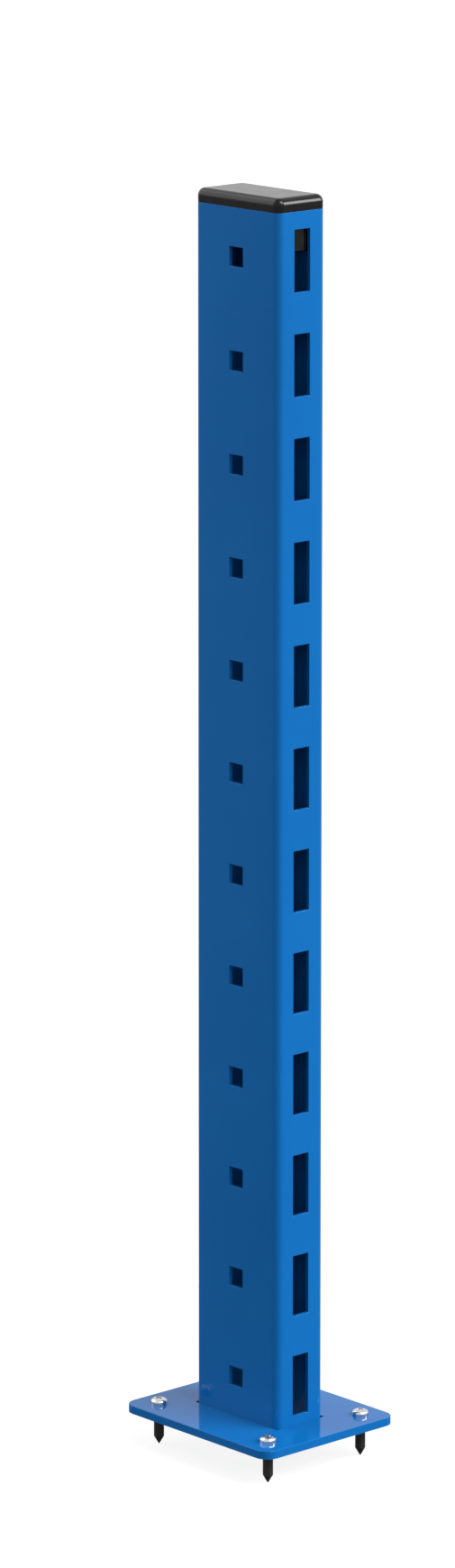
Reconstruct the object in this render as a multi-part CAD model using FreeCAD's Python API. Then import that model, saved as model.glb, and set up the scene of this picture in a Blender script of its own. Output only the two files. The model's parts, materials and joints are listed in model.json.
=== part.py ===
import FreeCAD, Part
import math
import os

from FreeCAD import Vector

# Slotted sign post: a rectangular steel tube with square holes and upright slots, welded
# into a base plate, closed by a plastic cap and fastened down with four screws in wall plugs.
# Millimetres. +Z is up. The origin is the centre of the base plate's underside. The broad
# sides of the tube face -Y and +Y, and the narrow sides face -X and +X.

# ---- post ----
post_height = 600.0          # top of the plate to the top of the cap
tube_width = 59.0            # across a broad side, along X
tube_depth = 31.0            # across a narrow side, along Y
tube_wall = 2.0
tube_corner = 4.0            # outer corner radius

# ---- rows of openings ----
row_pitch = 50.0
square_side = 9.5            # square holes in the broad sides
slot_width = 10.0            # upright slots in the narrow sides
slot_height = 30.0
foot_land = 4.6              # metal between the plate's top and the lowest slot
top_land = 8.0               # least metal left above the highest slot
edge_break = 0.25            # softened outer edge of each opening
least_corner = 0.2           # smallest radius that a corner is drawn with

# ---- base plate ----
plate_thickness = 4.0
plate_margin_x = 22.5        # plate beyond the tube's narrow sides
plate_margin_y = 27.5        # plate beyond the tube's broad sides
plate_corner = 7.0
plate_edge_break = 0.2
screw_inset = 12.5           # screw axis to the plate's edges
socket_clearance = 0.1       # tube in the plate's cut-out, on each side
socket_recess = 1.0          # tube's end above the plate's underside
weld_lift = 0.1              # weld's lowest point above the plate's underside

# ---- end cap ----
head_height = 6.8
head_round = 3.6             # rounded upper edge
head_skin = 2.5              # plastic above the hollow
skirt_length = 20.0
skirt_wall = 1.5
skirt_clearance = 0.3        # skirt in the tube, on each side
skirt_lead_in = 0.8
grip_rib_width = 1.2
grip_rib_gap = 0.1           # grip rib to the tube's inner wall
grip_rib_spacing_x = 36.0    # two ribs on each broad side
grip_rib_spacing_y = 17.0    # two ribs on each narrow side
web_thickness = 1.2
web_spacing = 18.0

# ---- screws ----
screw_length = 16.0          # under the head
screw_shank = 3.2
screw_point = 3.0
screw_head = 8.0
screw_head_height = 3.1
screw_head_rim = 1.2         # straight side of the head
recess_span = 3.8
recess_arm = 1.0
recess_depth = 1.9
recess_taper = 0.45          # size of the recess's bottom, as a share of its mouth

# ---- wall plugs ----
plug_diameter = 5.0
plug_hole_clearance = 0.1    # plug through the plate's hole, on each side
plug_bore_clearance = 0.05   # screw in the plug, on each side
plug_end_gap = 0.3           # screw's point to the bottom of the plug's bore
plug_nose = 4.25             # plug beyond the screw's point
plug_tip_radius = 0.4
plug_tip_angle = 60.0

# ---- sizes that follow from those above ----
tube_top = plate_thickness + post_height - head_height
tube_inside_x = tube_width - 2 * tube_wall
tube_inside_y = tube_depth - 2 * tube_wall
tube_inside_corner = max(tube_corner - tube_wall, least_corner)
first_row = plate_thickness + foot_land + slot_height / 2
room_for_rows = tube_top - top_land - slot_height / 2 - first_row
row_count = int(room_for_rows // row_pitch) + 1
rows = [first_row + i * row_pitch for i in range(row_count)]
plate_x = tube_width + 2 * plate_margin_x
plate_y = tube_depth + 2 * plate_margin_y
screw_x = plate_x / 2 - screw_inset
screw_y = plate_y / 2 - screw_inset
plate_hole = plug_diameter + 2 * plug_hole_clearance
screw_reach = screw_length - plate_thickness
plug_length = screw_reach + plug_nose
corners = {
    "front_left": (-screw_x, -screw_y),
    "front_right": (screw_x, -screw_y),
    "rear_left": (-screw_x, screw_y),
    "rear_right": (screw_x, screw_y),
}


def rounded_wire(size_x, size_y, radius, z):
    """A rectangle centred on the Z axis at height z, with corners of the given radius."""
    hx, hy = size_x / 2, size_y / 2
    ends, edges = [], []
    for sx, sy in ((1, 1), (-1, 1), (-1, -1), (1, -1)):
        centre = Vector(sx * (hx - radius), sy * (hy - radius), z)
        along_x = centre + Vector(sx * radius, 0, 0)
        along_y = centre + Vector(0, sy * radius, 0)
        diagonal = centre + Vector(sx, sy, 0) * (radius / math.sqrt(2))
        first, last = (along_x, along_y) if sx * sy > 0 else (along_y, along_x)
        edges.append(Part.Arc(first, diagonal, last).toShape())
        ends.append((first, last))
    for i, (_, last) in enumerate(ends):
        edges.append(Part.makeLine(last, ends[(i + 1) % len(ends)][0]))
    return Part.Wire(Part.__sortEdges__(edges))


def rounded_prism(size_x, size_y, radius, z0, z1):
    """An upright block with rounded vertical edges."""
    face = Part.Face(rounded_wire(size_x, size_y, radius, z0))
    return face.extrude(Vector(0, 0, z1 - z0))


def block(size_x, size_y, z0, z1, x=0.0, y=0.0):
    """An upright block with square edges, centred on x and y."""
    corner = Vector(x - size_x / 2, y - size_y / 2, z0)
    return Part.makeBox(size_x, size_y, z1 - z0, corner)


def flared_prism(size_x, size_y, z0, z1, size_x1, size_y1):
    """A block whose lower end has the first size and whose upper end has the second."""
    wires = []
    for sx, sy, z in ((size_x, size_y, z0), (size_x1, size_y1, z1)):
        xy = [(-sx, -sy), (sx, -sy), (sx, sy), (-sx, sy)]
        points = [Vector(x / 2, y / 2, z) for x, y in xy]
        wires.append(Part.makePolygon(points + points[:1]))
    return Part.makeLoft(wires, True, True)


def edges_at(shape, z, tolerance=1e-4):
    """The edges of a shape that lie flat at height z."""
    found = []
    for edge in shape.Edges:
        box = edge.BoundBox
        if abs(box.ZMin - z) < tolerance and abs(box.ZMax - z) < tolerance:
            found.append(edge)
    return found


def opening_cutter(width, height, across):
    """A cutter along X through a tube of the given size, flared where it breaks the surface."""
    mouth = edge_break * 2
    half = across / 2
    cutter = Part.makeBox(across * 2, width, height, Vector(-across, -width / 2, -height / 2))
    flare = flared_prism(
        height, width, half - edge_break, half + edge_break, height + 2 * mouth, width + 2 * mouth
    )
    for angle in (90, -90):
        side = flare.copy()
        side.rotate(Vector(), Vector(0, 1, 0), angle)
        cutter = cutter.fuse(side)
    return cutter.removeSplitter()


def make_post_tube():
    z0 = socket_recess
    tube = rounded_prism(tube_width, tube_depth, tube_corner, z0, tube_top)
    bore = rounded_prism(tube_inside_x, tube_inside_y, tube_inside_corner, z0, tube_top)
    tube = tube.cut(bore)
    slot = opening_cutter(slot_width, slot_height, tube_width)
    square = opening_cutter(square_side, square_side, tube_depth)
    square.rotate(Vector(), Vector(0, 0, 1), 90)
    cutters = []
    for z in rows:
        for tool in (slot, square):
            cutter = tool.copy()
            cutter.translate(Vector(0, 0, z))
            cutters.append(cutter)
    return tube.cut(cutters)


def make_base_plate():
    plate = rounded_prism(plate_x, plate_y, plate_corner, 0, plate_thickness)
    plate = plate.makeChamfer(plate_edge_break, edges_at(plate, plate_thickness))
    cut_x = tube_width + 2 * socket_clearance
    cut_y = tube_depth + 2 * socket_clearance
    tools = [block(cut_x, cut_y, 0, plate_thickness)]
    for x, y in corners.values():
        tools.append(Part.makeCylinder(plate_hole / 2, plate_thickness, Vector(x, y, 0)))
    return plate.cut(tools)


def make_foot_weld():
    """The weld under the tube's end: a ring that fills the cut-out around the tube's bore."""
    z0, z1 = weld_lift, socket_recess
    ring = block(tube_width + 2 * socket_clearance, tube_depth + 2 * socket_clearance, z0, z1)
    return ring.cut(rounded_prism(tube_inside_x, tube_inside_y, tube_inside_corner, z0, z1))


def make_end_cap():
    top = tube_top + head_height
    bottom = tube_top - skirt_length
    skirt_x = tube_inside_x - 2 * skirt_clearance
    skirt_y = tube_inside_y - 2 * skirt_clearance
    skirt_corner = max(tube_inside_corner - skirt_clearance, least_corner)
    hollow_x = skirt_x - 2 * skirt_wall
    hollow_y = skirt_y - 2 * skirt_wall

    head = rounded_prism(tube_width, tube_depth, tube_corner, tube_top, top)
    head = head.makeFillet(min(head_round, tube_corner - least_corner), edges_at(head, top))
    skirt = rounded_prism(skirt_x, skirt_y, skirt_corner, bottom, tube_top)
    skirt = skirt.makeChamfer(min(skirt_lead_in, skirt_wall / 2), edges_at(skirt, bottom))
    grip = skirt_clearance - grip_rib_gap
    ribs = []
    for side in (-1, 1):
        for place in (-0.5, 0.5):
            x, y = grip_rib_spacing_x * place, side * skirt_y / 2
            ribs.append(block(grip_rib_width, 2 * grip, bottom + 2 * skirt_lead_in, tube_top, x, y))
            x, y = side * skirt_x / 2, grip_rib_spacing_y * place
            ribs.append(block(2 * grip, grip_rib_width, bottom + 2 * skirt_lead_in, tube_top, x, y))
    hollow = block(hollow_x, hollow_y, bottom, top - head_skin)
    webs = []
    for place in (-0.5, 0.5):
        z0 = bottom + skirt_length / 4
        webs.append(block(web_thickness, hollow_y, z0, top - head_skin, web_spacing * place))
    return head.fuse([skirt] + ribs).cut(hollow).fuse(webs).removeSplitter()


def phillips_recess(top):
    """Two crossed tapering arms that sink into the head from height top."""
    arms = []
    for span, arm in ((recess_span, recess_arm), (recess_arm, recess_span)):
        arms.append(
            flared_prism(
                span * recess_taper, arm * recess_taper, top - recess_depth, top, span, arm
            )
        )
    return arms[0].fuse(arms[1])


def make_screw():
    """A pan-head screw on the Z axis, with the head standing on the plate."""
    seat = plate_thickness
    top = seat + screw_head_height
    rim = seat + screw_head_rim
    radius = screw_head / 2
    rise = screw_head_height - screw_head_rim
    dome = (radius**2 + rise**2) / (2 * rise)
    swing = math.asin(radius / dome) / 2
    shoulder = Vector(dome * math.sin(swing), 0, top - dome + dome * math.cos(swing))
    shank = screw_shank / 2
    tip = seat - screw_length
    edges = [
        Part.makeLine(Vector(0, 0, tip), Vector(shank, 0, tip + screw_point)),
        Part.makeLine(Vector(shank, 0, tip + screw_point), Vector(shank, 0, seat)),
        Part.makeLine(Vector(shank, 0, seat), Vector(radius, 0, seat)),
        Part.makeLine(Vector(radius, 0, seat), Vector(radius, 0, rim)),
        Part.Arc(Vector(radius, 0, rim), shoulder, Vector(0, 0, top)).toShape(),
        Part.makeLine(Vector(0, 0, top), Vector(0, 0, tip)),
    ]
    profile = Part.Face(Part.Wire(edges))
    screw = profile.revolve(Vector(), Vector(0, 0, 1), 360)
    return screw.cut(phillips_recess(top))


def make_plug():
    """A pointed wall plug on the Z axis, with its rim flush with the plate's underside."""
    radius = plug_diameter / 2
    half_angle = math.radians(plug_tip_angle / 2)
    ball = Vector(0, 0, -plug_length + plug_tip_radius)
    touch_r = plug_tip_radius * math.cos(half_angle)
    touch_z = ball.z - plug_tip_radius * math.sin(half_angle)
    cone_top = touch_z + (radius - touch_r) / math.tan(half_angle)
    turn = (math.pi / 2 - half_angle) / 2
    mid = Vector(plug_tip_radius * math.sin(turn), 0, ball.z - plug_tip_radius * math.cos(turn))
    edges = [
        Part.Arc(Vector(0, 0, -plug_length), mid, Vector(touch_r, 0, touch_z)).toShape(),
        Part.makeLine(Vector(touch_r, 0, touch_z), Vector(radius, 0, cone_top)),
        Part.makeLine(Vector(radius, 0, cone_top), Vector(radius, 0, 0)),
        Part.makeLine(Vector(radius, 0, 0), Vector(0, 0, 0)),
        Part.makeLine(Vector(0, 0, 0), Vector(0, 0, -plug_length)),
    ]
    plug = Part.Face(Part.Wire(edges)).revolve(Vector(), Vector(0, 0, 1), 360)
    depth = screw_reach + plug_end_gap
    bore = Part.makeCylinder(screw_shank / 2 + plug_bore_clearance, depth, Vector(0, 0, -depth))
    return plug.cut(bore)


def save(shape, node):
    if not shape.isValid() or len(shape.Solids) != 1:
        raise ValueError(f"{node} isn't one valid solid")
    shape.Solids[0].exportStep(f"parts/{node}.step")
    print(node, round(shape.Volume, 1))


os.makedirs("parts", exist_ok=True)
save(make_post_tube(), "post_tube")
save(make_base_plate(), "base_plate")
save(make_foot_weld(), "foot_weld")
save(make_end_cap(), "end_cap")
for name, (x, y) in corners.items():
    for kind, shape in (("screw", make_screw()), ("plug", make_plug())):
        shape.translate(Vector(x, y, 0))
        save(shape, f"{kind}_{name}")
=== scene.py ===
import json
import math

import bmesh
import bpy
from mathutils import Matrix, Vector


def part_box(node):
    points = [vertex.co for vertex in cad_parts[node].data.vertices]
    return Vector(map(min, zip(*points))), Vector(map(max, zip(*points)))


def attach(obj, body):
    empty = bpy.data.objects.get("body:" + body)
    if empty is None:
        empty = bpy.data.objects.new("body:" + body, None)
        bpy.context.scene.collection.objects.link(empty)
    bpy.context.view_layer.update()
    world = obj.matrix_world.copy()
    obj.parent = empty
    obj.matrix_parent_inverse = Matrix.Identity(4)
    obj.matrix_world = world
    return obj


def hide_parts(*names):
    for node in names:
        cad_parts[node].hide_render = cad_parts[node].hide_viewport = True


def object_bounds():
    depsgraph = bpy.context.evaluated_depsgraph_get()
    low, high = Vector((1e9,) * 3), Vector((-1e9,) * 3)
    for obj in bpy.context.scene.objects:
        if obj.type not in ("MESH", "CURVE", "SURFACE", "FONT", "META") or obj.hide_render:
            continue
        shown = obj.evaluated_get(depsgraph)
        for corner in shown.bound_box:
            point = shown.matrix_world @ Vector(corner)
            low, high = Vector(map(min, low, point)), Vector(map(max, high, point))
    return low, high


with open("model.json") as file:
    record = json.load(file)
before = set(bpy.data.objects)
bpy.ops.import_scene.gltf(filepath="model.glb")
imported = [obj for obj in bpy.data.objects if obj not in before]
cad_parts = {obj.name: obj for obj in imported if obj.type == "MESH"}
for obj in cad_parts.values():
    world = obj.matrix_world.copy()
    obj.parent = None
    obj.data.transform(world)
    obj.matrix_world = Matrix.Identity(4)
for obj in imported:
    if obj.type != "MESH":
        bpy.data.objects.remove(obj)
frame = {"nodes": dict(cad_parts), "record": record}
cad_low, cad_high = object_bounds()
nodes = frame["nodes"]
openings = {o["name"]: o["box_m"] for o in frame["record"]["physics"]["openings"]}
MM = 0.001


# ---- materials ----

NOISE_LOW, NOISE_HIGH = 0.3, 0.7     # nearly all of a noise texture's values lie between these
COAT_LIGHT = (0.0024, 0.0745, 0.236)
COAT_IOR = 1.22                      # lower than a real paint's, to keep the reflections weak


def new_material(name):
    """A material with a Principled shader. Returns it with its node tree and shader."""
    material = bpy.data.materials.new(name)
    material.use_nodes = True
    tree = material.node_tree
    return material, tree, tree.nodes["Principled BSDF"]


def noise(tree, scale, detail, axes=(1, 1, 1)):
    """Noise with about scale cells to the metre. A factor under 1 in axes draws them out that way."""
    place = tree.nodes.new("ShaderNodeTexCoord")
    mapping = tree.nodes.new("ShaderNodeMapping")
    mapping.inputs["Scale"].default_value = axes
    texture = tree.nodes.new("ShaderNodeTexNoise")
    texture.inputs["Scale"].default_value = scale
    texture.inputs["Detail"].default_value = detail
    tree.links.new(place.outputs["Object"], mapping.inputs["Vector"])
    tree.links.new(mapping.outputs["Vector"], texture.inputs["Vector"])
    return texture.outputs["Fac"]


def ramp(tree, value, stops):
    """A colour ramp over value. stops are (position, colour) pairs."""
    node = tree.nodes.new("ShaderNodeValToRGB")
    elements = node.color_ramp.elements
    while len(elements) < len(stops):
        elements.new(0.5)
    for element, (position, colour) in zip(elements, stops):
        element.position = position
        element.color = (*colour, 1)
    tree.links.new(value, node.inputs["Fac"])
    return node.outputs["Color"]


def vary_colour(tree, shader, value, dark, light):
    """Base colour that runs from dark to light as the noise rises."""
    stops = [(NOISE_LOW, dark), (NOISE_HIGH, light)]
    tree.links.new(ramp(tree, value, stops), shader.inputs["Base Color"])


def vary_roughness(tree, shader, value, low, high):
    """Roughness that runs from low to high as the noise rises."""
    node = tree.nodes.new("ShaderNodeMapRange")
    node.inputs["From Min"].default_value = NOISE_LOW
    node.inputs["From Max"].default_value = NOISE_HIGH
    node.inputs["To Min"].default_value = low
    node.inputs["To Max"].default_value = high
    tree.links.new(value, node.inputs["Value"])
    tree.links.new(node.outputs["Result"], shader.inputs["Roughness"])


def bump(tree, shader, height, depth):
    """Surface relief of a depth in metres, from a noise."""
    node = tree.nodes.new("ShaderNodeBump")
    node.inputs["Distance"].default_value = depth
    tree.links.new(height, node.inputs["Height"])
    tree.links.new(node.outputs["Normal"], shader.inputs["Normal"])


def powder_coat():
    """Glossy blue powder coat: a slow drift of colour and a fine orange-peel surface."""
    material, tree, shader = new_material("blue_powder_coat")
    drift = noise(tree, scale=14, detail=2)
    vary_colour(tree, shader, drift, dark=(0.0017, 0.0680, 0.218), light=COAT_LIGHT)
    patches = noise(tree, scale=60, detail=4)
    vary_roughness(tree, shader, patches, low=0.04, high=0.075)
    shader.inputs["IOR"].default_value = COAT_IOR
    peel = noise(tree, scale=420, detail=1)
    bump(tree, shader, peel, depth=0.002 * MM)
    return material


def cap_plastic():
    """Satin black polyethylene with the fine grain of a moulded surface."""
    material, tree, shader = new_material("cap_black_plastic")
    tone = noise(tree, scale=220, detail=4)
    vary_colour(tree, shader, tone, dark=(0.0016, 0.0016, 0.0018), light=(0.0032, 0.0032, 0.0034))
    patches = noise(tree, scale=150, detail=3)
    vary_roughness(tree, shader, patches, low=0.18, high=0.22)
    shader.inputs["IOR"].default_value = 1.30
    grain = noise(tree, scale=1200, detail=1)
    bump(tree, shader, grain, depth=0.0003 * MM)
    return material


def plug_nylon():
    """Dull black nylon with faint marks along its length."""
    material, tree, shader = new_material("plug_black_nylon")
    tone = noise(tree, scale=300, detail=3, axes=(1, 1, 0.15))
    vary_colour(tree, shader, tone, dark=(0.010, 0.010, 0.0105), light=(0.017, 0.017, 0.0175))
    vary_roughness(tree, shader, tone, low=0.35, high=0.45)
    shader.inputs["IOR"].default_value = 1.3
    marks = noise(tree, scale=900, detail=2, axes=(1, 1, 0.2))
    bump(tree, shader, marks, depth=0.006 * MM)
    return material


def zinc_plate():
    """Bright zinc plating, with a fine grain and small clouded patches."""
    material, tree, shader = new_material("bright_zinc")
    tone = noise(tree, scale=500, detail=4)
    vary_colour(tree, shader, tone, dark=(0.58, 0.59, 0.61), light=(0.68, 0.685, 0.69))
    vary_roughness(tree, shader, tone, low=0.12, high=0.20)
    shader.inputs["Metallic"].default_value = 1.0
    grain = noise(tree, scale=2500, detail=2)
    bump(tree, shader, grain, depth=0.002 * MM)
    return material


def coated_weld():
    """The same paint over a rough weld bead."""
    material, tree, shader = new_material("coated_weld")
    tone = noise(tree, scale=120, detail=4)
    vary_colour(tree, shader, tone, dark=(0.0017, 0.063, 0.200), light=COAT_LIGHT)
    vary_roughness(tree, shader, tone, low=0.12, high=0.25)
    shader.inputs["IOR"].default_value = COAT_IOR
    lumps = noise(tree, scale=700, detail=3)
    bump(tree, shader, lumps, depth=0.03 * MM)
    return material


# ---- mesh helpers ----

ROUND_SEGMENTS = 3
CORNERS = ((1, 1), (-1, 1), (-1, -1), (1, -1))   # signs of x and y, anticlockwise


def link_mesh(bm, name, material):
    """Puts a bmesh in the scene as a piece with one material, and frees it."""
    mesh = bpy.data.meshes.new(name)
    bm.to_mesh(mesh)
    bm.free()
    piece = bpy.data.objects.new(name, mesh)
    bpy.context.scene.collection.objects.link(piece)
    piece.data.materials.append(material)
    return piece


def apply_modifiers(piece):
    """Replaces a piece's mesh with its modified one."""
    graph = bpy.context.evaluated_depsgraph_get()
    graph.update()
    modified = piece.evaluated_get(graph)
    made = bpy.data.meshes.new_from_object(modified, preserve_all_data_layers=True, depsgraph=graph)
    piece.modifiers.clear()
    piece.data = made


def soften_edges(piece, width, angle):
    """Rounds the edges that turn by more than angle, and keeps the flats flat in the shading."""
    for face in piece.data.polygons:
        face.use_smooth = True
    bevel = piece.modifiers.new("soft_edges", "BEVEL")
    bevel.width = width
    bevel.segments = ROUND_SEGMENTS
    bevel.limit_method = "ANGLE"
    bevel.angle_limit = math.radians(angle)
    bevel.harden_normals = True
    apply_modifiers(piece)


def arc_points(centre, radius, start, stop, steps):
    """Points on an arc, in degrees, both ends included."""
    points = []
    for i in range(steps + 1):
        angle = math.radians(start + (stop - start) * i / steps)
        points.append((centre[0] + radius * math.cos(angle), centre[1] + radius * math.sin(angle)))
    return points


# ---- the tube ----

TUBE_CORNER = 4.0 * MM
TUBE_WALL = 2.0 * MM
CORNER_STEPS = 10
SLOT_HALF_WIDTH = 5.0 * MM
SLOT_HALF_HEIGHT = 15.0 * MM
SQUARE_HALF = 4.75 * MM
OPENING_INSET = 0.25 * MM        # an opening's box stands this far inside its edges
COAT_ROUND = 0.18 * MM           # the paint rounds each sharp edge by this much
COAT_ANGLE = 40                  # degrees: a gentler edge stays as it is
TOLERANCE = 0.001 * MM


def row_heights():
    """The middle height of each row, from the boxes of the slots."""
    heights = []
    for name, (low, high) in openings.items():
        if name.startswith("slot_"):
            heights.append(low[2] - OPENING_INSET + SLOT_HALF_HEIGHT)
    return sorted(heights)


def tube_outline(hx, hy):
    """The tube's outline from above, with a point at each side of the openings in its faces."""
    outline = []
    for turn, (sx, sy) in enumerate(CORNERS):
        centre = (sx * (hx - TUBE_CORNER), sy * (hy - TUBE_CORNER))
        outline += arc_points(centre, TUBE_CORNER, 90 * turn, 90 * turn + 90, CORNER_STEPS)
        if sx * sy > 0:
            outline += [(sx * SQUARE_HALF, sy * hy), (-sx * SQUARE_HALF, sy * hy)]
        else:
            outline += [(sx * hx, sy * SLOT_HALF_WIDTH), (sx * hx, -sy * SLOT_HALF_WIDTH)]
    return outline


def within(value, spans):
    """Whether value lies inside one of the (low, high) spans."""
    return any(low < value < high for low, high in spans)


def post_shell(material):
    """The tube: its outer skin with every opening left out, thickened inwards."""
    low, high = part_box("post_tube")
    outline = tube_outline(high.x, high.y)
    rows = row_heights()
    slots = [(z - SLOT_HALF_HEIGHT, z + SLOT_HALF_HEIGHT) for z in rows]
    squares = [(z - SQUARE_HALF, z + SQUARE_HALF) for z in rows]
    levels = sorted({low.z, high.z}.union(*slots, *squares))
    bm = bmesh.new()
    rings = [[bm.verts.new((x, y, z)) for x, y in outline] for z in levels]
    for i, z0 in enumerate(levels[:-1]):
        middle = (z0 + levels[i + 1]) / 2
        in_slot = within(middle, slots)
        in_square = within(middle, squares)
        for j, (x0, y0) in enumerate(outline):
            k = (j + 1) % len(outline)
            x1, y1 = outline[k]
            on_slot = max(abs(y0), abs(y1)) < SLOT_HALF_WIDTH + TOLERANCE
            on_square = max(abs(x0), abs(x1)) < SQUARE_HALF + TOLERANCE
            if (on_slot and in_slot) or (on_square and in_square):
                continue
            bm.faces.new((rings[i][j], rings[i][k], rings[i + 1][k], rings[i + 1][j]))
    loose = [v for v in bm.verts if not v.link_faces]
    bmesh.ops.delete(bm, geom=loose, context="VERTS")
    piece = link_mesh(bm, "post_shell", material)
    wall = piece.modifiers.new("wall", "SOLIDIFY")
    wall.thickness = TUBE_WALL
    wall.offset = -1
    wall.use_even_offset = True
    apply_modifiers(piece)
    soften_edges(piece, COAT_ROUND, COAT_ANGLE)
    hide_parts("post_tube")
    return piece


# ---- the weld ----

WELD_WIDTH = 2.8 * MM            # the bead stands a little way into the tube's bore
WELD_CORNER = 2.4 * MM           # radius of the bead's middle line at the corners
WELD_STEP = 0.25 * MM
BEAD_SIDES = 14
RIPPLE_PITCH = 1.5 * MM
RIPPLE_DEPTH = 0.14              # share of the bead's size that a ripple takes off


def rounded_path(hx, hy, radius, step):
    """Points round a rounded rectangle, each with its outward direction."""
    path = []
    for turn, (sx, sy) in enumerate(CORNERS):
        centre = Vector((sx * (hx - radius), sy * (hy - radius)))
        count = round(radius * math.pi / 2 / step)
        for i in range(count + 1):
            angle = math.pi / 2 * (turn + i / count)
            out = Vector((math.cos(angle), math.sin(angle)))
            path.append((centre + out * radius, out))
        run = 2 * (hx - radius) if turn % 2 == 0 else 2 * (hy - radius)
        ahead = Vector((-out.y, out.x))
        count = round(run / step)
        for i in range(1, count):
            path.append((path[-1][0] + ahead * (run / count), out))
    return path


def weld_bead(material):
    """The bead under the tube's end, with a ripple for each step of the welder."""
    low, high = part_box("foot_weld")
    tall, middle = (high.z - low.z) / 2, (high.z + low.z) / 2
    inset = WELD_WIDTH / 2
    path = rounded_path(high.x - inset, high.y - inset, WELD_CORNER, WELD_STEP)
    bm = bmesh.new()
    rings, along, before = [], 0.0, path[0][0]
    for point, out in path:
        along += (point - before).length
        before = point
        ripple = 0.5 + 0.5 * math.cos(2 * math.pi * along / RIPPLE_PITCH)
        size = 1 - RIPPLE_DEPTH * ripple
        ring = []
        for i in range(BEAD_SIDES):
            angle = 2 * math.pi * i / BEAD_SIDES
            place = point + out * (inset * size * math.cos(angle))
            ring.append(bm.verts.new((place.x, place.y, middle + tall * size * math.sin(angle))))
        rings.append(ring)
    for i, ring in enumerate(rings):
        after = rings[(i + 1) % len(rings)]
        for j in range(BEAD_SIDES):
            k = (j + 1) % BEAD_SIDES
            bm.faces.new((ring[j], after[j], after[k], ring[k]))
    bmesh.ops.recalc_face_normals(bm, faces=bm.faces)
    for face in bm.faces:
        face.smooth = True
    piece = link_mesh(bm, "foot_bead", material)
    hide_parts("foot_weld")
    return piece


# ---- the screws ----

HEAD_RADIUS = 4.0 * MM
HEAD_RIM = 1.2 * MM              # straight side of the head
HEAD_HEIGHT = 3.1 * MM
HEAD_FULLNESS = 2.2              # 2 is an ellipse, more is a flatter top
HEAD_STEPS = 14
SHANK_RADIUS = 1.6 * MM
SHANK_POINT = 3.0 * MM
RECESS_SPAN = 3.8 * MM           # length of each bar of the cross
RECESS_BAR = 1.0 * MM            # width of each bar of the cross
RECESS_DEPTH = 1.9 * MM
RECESS_TAPER = 0.75              # size of the recess at its bottom, as a share of its mouth
CUTTER_ABOVE = 0.5 * MM          # the cutter stands this far out of the head
SCREW_ROUND = 0.12 * MM
SCREW_ANGLE = 25                 # degrees: a gentler edge stays as it is
LATHE_STEPS = 48


def lathe(profile):
    """A closed surface turned about the Z axis. The profile starts and ends on the axis."""
    bm = bmesh.new()
    first = bm.verts.new((0, 0, profile[0][1]))
    last = bm.verts.new((0, 0, profile[-1][1]))
    rings = []
    for r, z in profile[1:-1]:
        ring = []
        for i in range(LATHE_STEPS):
            angle = 2 * math.pi * i / LATHE_STEPS
            ring.append(bm.verts.new((r * math.cos(angle), r * math.sin(angle), z)))
        rings.append(ring)
    for i in range(LATHE_STEPS):
        k = (i + 1) % LATHE_STEPS
        bm.faces.new((first, rings[0][k], rings[0][i]))
        bm.faces.new((last, rings[-1][i], rings[-1][k]))
        for low, high in zip(rings, rings[1:]):
            bm.faces.new((low[i], low[k], high[k], high[i]))
    return bm


def tapered_bar(length, width, top):
    """A cutter for one bar of the cross, with its mouth at height top and a little more above."""
    bm = bmesh.new()
    rings = []
    slope = (1 - RECESS_TAPER) / RECESS_DEPTH
    for z in (-RECESS_DEPTH, CUTTER_ABOVE):
        k = 1 + slope * z
        xy = [(-length, -width), (length, -width), (length, width), (-length, width)]
        rings.append([bm.verts.new((x * k / 2, y * k / 2, top + z)) for x, y in xy])
    bm.faces.new(rings[0][::-1])
    bm.faces.new(rings[1])
    for i in range(4):
        k = (i + 1) % 4
        bm.faces.new((rings[0][i], rings[0][k], rings[1][k], rings[1][i]))
    return bm


def screw_profile(bottom, top):
    """Half the screw's outline, as (radius, height) from its point up to the crown of its head."""
    seat = top - HEAD_HEIGHT
    profile = [(0, bottom), (SHANK_RADIUS, bottom + SHANK_POINT), (SHANK_RADIUS, seat)]
    profile += [(HEAD_RADIUS, seat), (HEAD_RADIUS, seat + HEAD_RIM)]
    dome = HEAD_HEIGHT - HEAD_RIM
    power = 2 / HEAD_FULLNESS
    for i in range(1, HEAD_STEPS):
        angle = math.pi / 2 * i / HEAD_STEPS
        r = HEAD_RADIUS * math.cos(angle) ** power
        profile.append((r, seat + HEAD_RIM + dome * math.sin(angle) ** power))
    profile.append((0, top))
    return profile


def screw_body(name, material):
    """A pan-head screw with a cross recess. Replaces the CAD screw of the same name."""
    low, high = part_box(name)
    x, y = (low.x + high.x) / 2, (low.y + high.y) / 2
    piece = link_mesh(lathe(screw_profile(low.z, high.z)), name + "_shown", material)
    for length, width in ((RECESS_SPAN, RECESS_BAR), (RECESS_BAR, RECESS_SPAN)):
        cutter = link_mesh(tapered_bar(length, width, high.z), "recess_cutter", material)
        cut = piece.modifiers.new("recess", "BOOLEAN")
        cut.operation = "DIFFERENCE"
        cut.solver = "EXACT"
        cut.object = cutter
        apply_modifiers(piece)
        bpy.data.objects.remove(cutter)
    soften_edges(piece, SCREW_ROUND, SCREW_ANGLE)
    piece.data.transform(Matrix.Translation((x, y, 0)))
    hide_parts(name)
    return piece


# ---- stage ----

FLOOR_SIZE = 60.0
FLOOR_CELLS = 8
FLOOR_GAP = 0.2 * MM             # the plugs' points clear the floor by this much
FLOOR_GLOW = 0.85                # the floor gives off light, so that it shows nearly white

KEY_POWER = 4.1
KEY_ANGLE = 0.7                  # radians: a wide sun, which casts soft shadows
KEY_DISTANCE = 4.0
BOX_DISTANCE = 3.0

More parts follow.
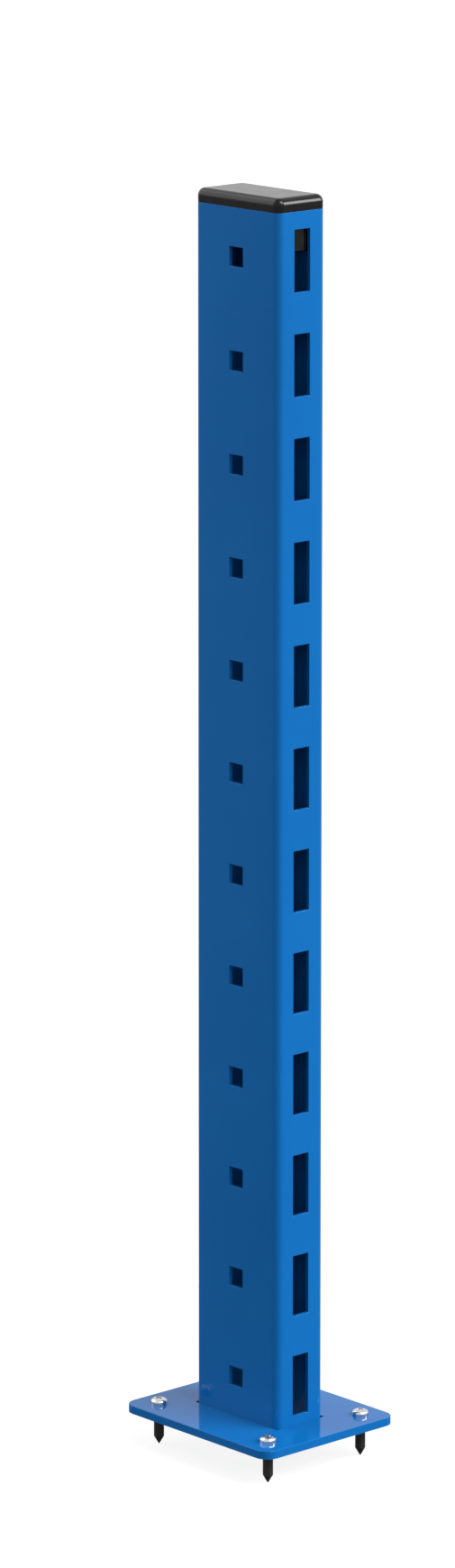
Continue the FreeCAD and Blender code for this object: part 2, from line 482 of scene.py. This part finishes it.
# Brightness of the room, from straight down (0) past the horizon (0.5) to straight up (1).
ROOM_LEVELS = [(0.0, 0.12), (0.33, 0.22), (0.43, 0.50), (0.48, 1.0), (0.75, 1.0), (1.0, 0.92)]

CAMERA_PLACE = (2.280, -2.084, 1.019)
CAMERA_TILT = 8.74               # degrees below level
CAMERA_TURN = 47.86              # degrees, anticlockwise from looking along +Y
CAMERA_LENS = 150.87             # focal length in mm, for the sensor size below
CAMERA_SENSOR = 36.0
CAMERA_SHIFT = -0.299            # share of the frame's longer side
CAMERA_REACH = 200.0


def make_floor():
    """A pale floor just under the plugs, which the camera sees and no piece is lit by."""
    material, tree, shader = new_material("pale_floor")
    tone = noise(tree, scale=3, detail=2)
    vary_colour(tree, shader, tone, dark=(0.120, 0.120, 0.120), light=(0.123, 0.123, 0.123))
    shader.inputs["Roughness"].default_value = 0.9
    shader.inputs["Specular IOR Level"].default_value = 0.1
    shader.inputs["Emission Color"].default_value = (1, 1, 1, 1)
    shader.inputs["Emission Strength"].default_value = FLOOR_GLOW
    bm = bmesh.new()
    half = FLOOR_SIZE / 2
    bmesh.ops.create_grid(bm, x_segments=FLOOR_CELLS, y_segments=FLOOR_CELLS, size=half)
    floor = link_mesh(bm, "floor", material)
    floor.location.z = cad_low.z - FLOOR_GAP
    floor.visible_glossy = False
    floor.visible_diffuse = False


def place_light(name, light, aim, direction, distance):
    """Puts a light at a distance from aim in the given direction, facing aim."""
    lamp = bpy.data.objects.new(name, light)
    bpy.context.scene.collection.objects.link(lamp)
    away = Vector(direction).normalized()
    lamp.location = aim + away * distance
    lamp.rotation_mode = "QUATERNION"
    lamp.rotation_quaternion = away.to_track_quat("Z", "Y")
    lamp.visible_camera = False
    return lamp


def softbox(name, aim, direction, size, power):
    """A square area light. Its size is in metres and its power in watts."""
    box = bpy.data.lights.new(name, "AREA")
    box.shape = "SQUARE"
    box.size = size
    box.energy = power
    return place_light(name, box, aim, direction, BOX_DISTANCE)


def fill(name, aim, direction, size, power):
    """A softbox that lights surfaces and shows in no reflection."""
    softbox(name, aim, direction, size, power).visible_glossy = False


def make_lights():
    """A sun as key on the narrow side, two softboxes and two fills."""
    middle = (cad_low + cad_high) / 2
    key = bpy.data.lights.new("key", "SUN")
    key.energy = KEY_POWER
    key.angle = KEY_ANGLE
    place_light("key", key, middle, (0.66, 0.14, 0.74), KEY_DISTANCE)
    softbox("rear_box", middle, direction=(0.60, 0.68, 0.44), size=1.2, power=81)
    softbox("left_box", middle, direction=(-0.72, -0.38, 0.54), size=2.6, power=38)
    fill("left_fill", middle, direction=(-0.76, -0.60, 0.15), size=2.6, power=66)
    fill("right_fill", middle, direction=(0.90, 0.42, 0.12), size=1.6, power=47)


def make_room():
    """The world: white round and above the object, and darker below the horizon."""
    world = bpy.data.worlds.new("studio")
    world.use_nodes = True
    tree = world.node_tree
    background = tree.nodes["Background"]
    place = tree.nodes.new("ShaderNodeTexCoord")
    split = tree.nodes.new("ShaderNodeSeparateXYZ")
    tree.links.new(place.outputs["Generated"], split.inputs["Vector"])
    height = tree.nodes.new("ShaderNodeMapRange")
    height.inputs["From Min"].default_value = -1.0
    tree.links.new(split.outputs["Z"], height.inputs["Value"])
    stops = [(at, (level, level, level)) for at, level in ROOM_LEVELS]
    tree.links.new(ramp(tree, height.outputs["Result"], stops), background.inputs["Color"])
    background.inputs["Strength"].default_value = 1.0
    bpy.context.scene.world = world


def make_camera():
    """The view that the object is seen from: a long lens, looking a little down."""
    camera = bpy.data.cameras.new("camera")
    camera.sensor_fit = "AUTO"
    camera.sensor_width = CAMERA_SENSOR
    camera.lens = CAMERA_LENS
    camera.shift_y = CAMERA_SHIFT
    camera.clip_end = CAMERA_REACH
    eye = bpy.data.objects.new("camera", camera)
    bpy.context.scene.collection.objects.link(eye)
    eye.location = CAMERA_PLACE
    eye.rotation_euler = (math.radians(90 - CAMERA_TILT), 0, math.radians(CAMERA_TURN))
    bpy.context.scene.camera = eye


# ---- assembly ----

bpy.context.scene.view_settings.view_transform = "Standard"
blue = powder_coat()
finishes = {
    "powder_coat": blue,
    "coated_weld": coated_weld(),
    "cap_plastic": cap_plastic(),
    "zinc": zinc_plate(),
    "plug_nylon": plug_nylon(),
}
slot_of = {s["node"]: s["material_slot"] for s in frame["record"]["subparts"]}
for name, node in nodes.items():
    for slot in node.material_slots:
        slot.material = finishes[slot_of[name]]

shown = [(post_shell(blue), "powder_coat"), (weld_bead(finishes["coated_weld"]), "coated_weld")]
for name in nodes:
    if name.startswith("screw_"):
        shown.append((screw_body(name, finishes["zinc"]), "zinc"))
for piece, slot in shown:
    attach(piece, "post")

make_floor()
make_lights()
make_room()
make_camera()
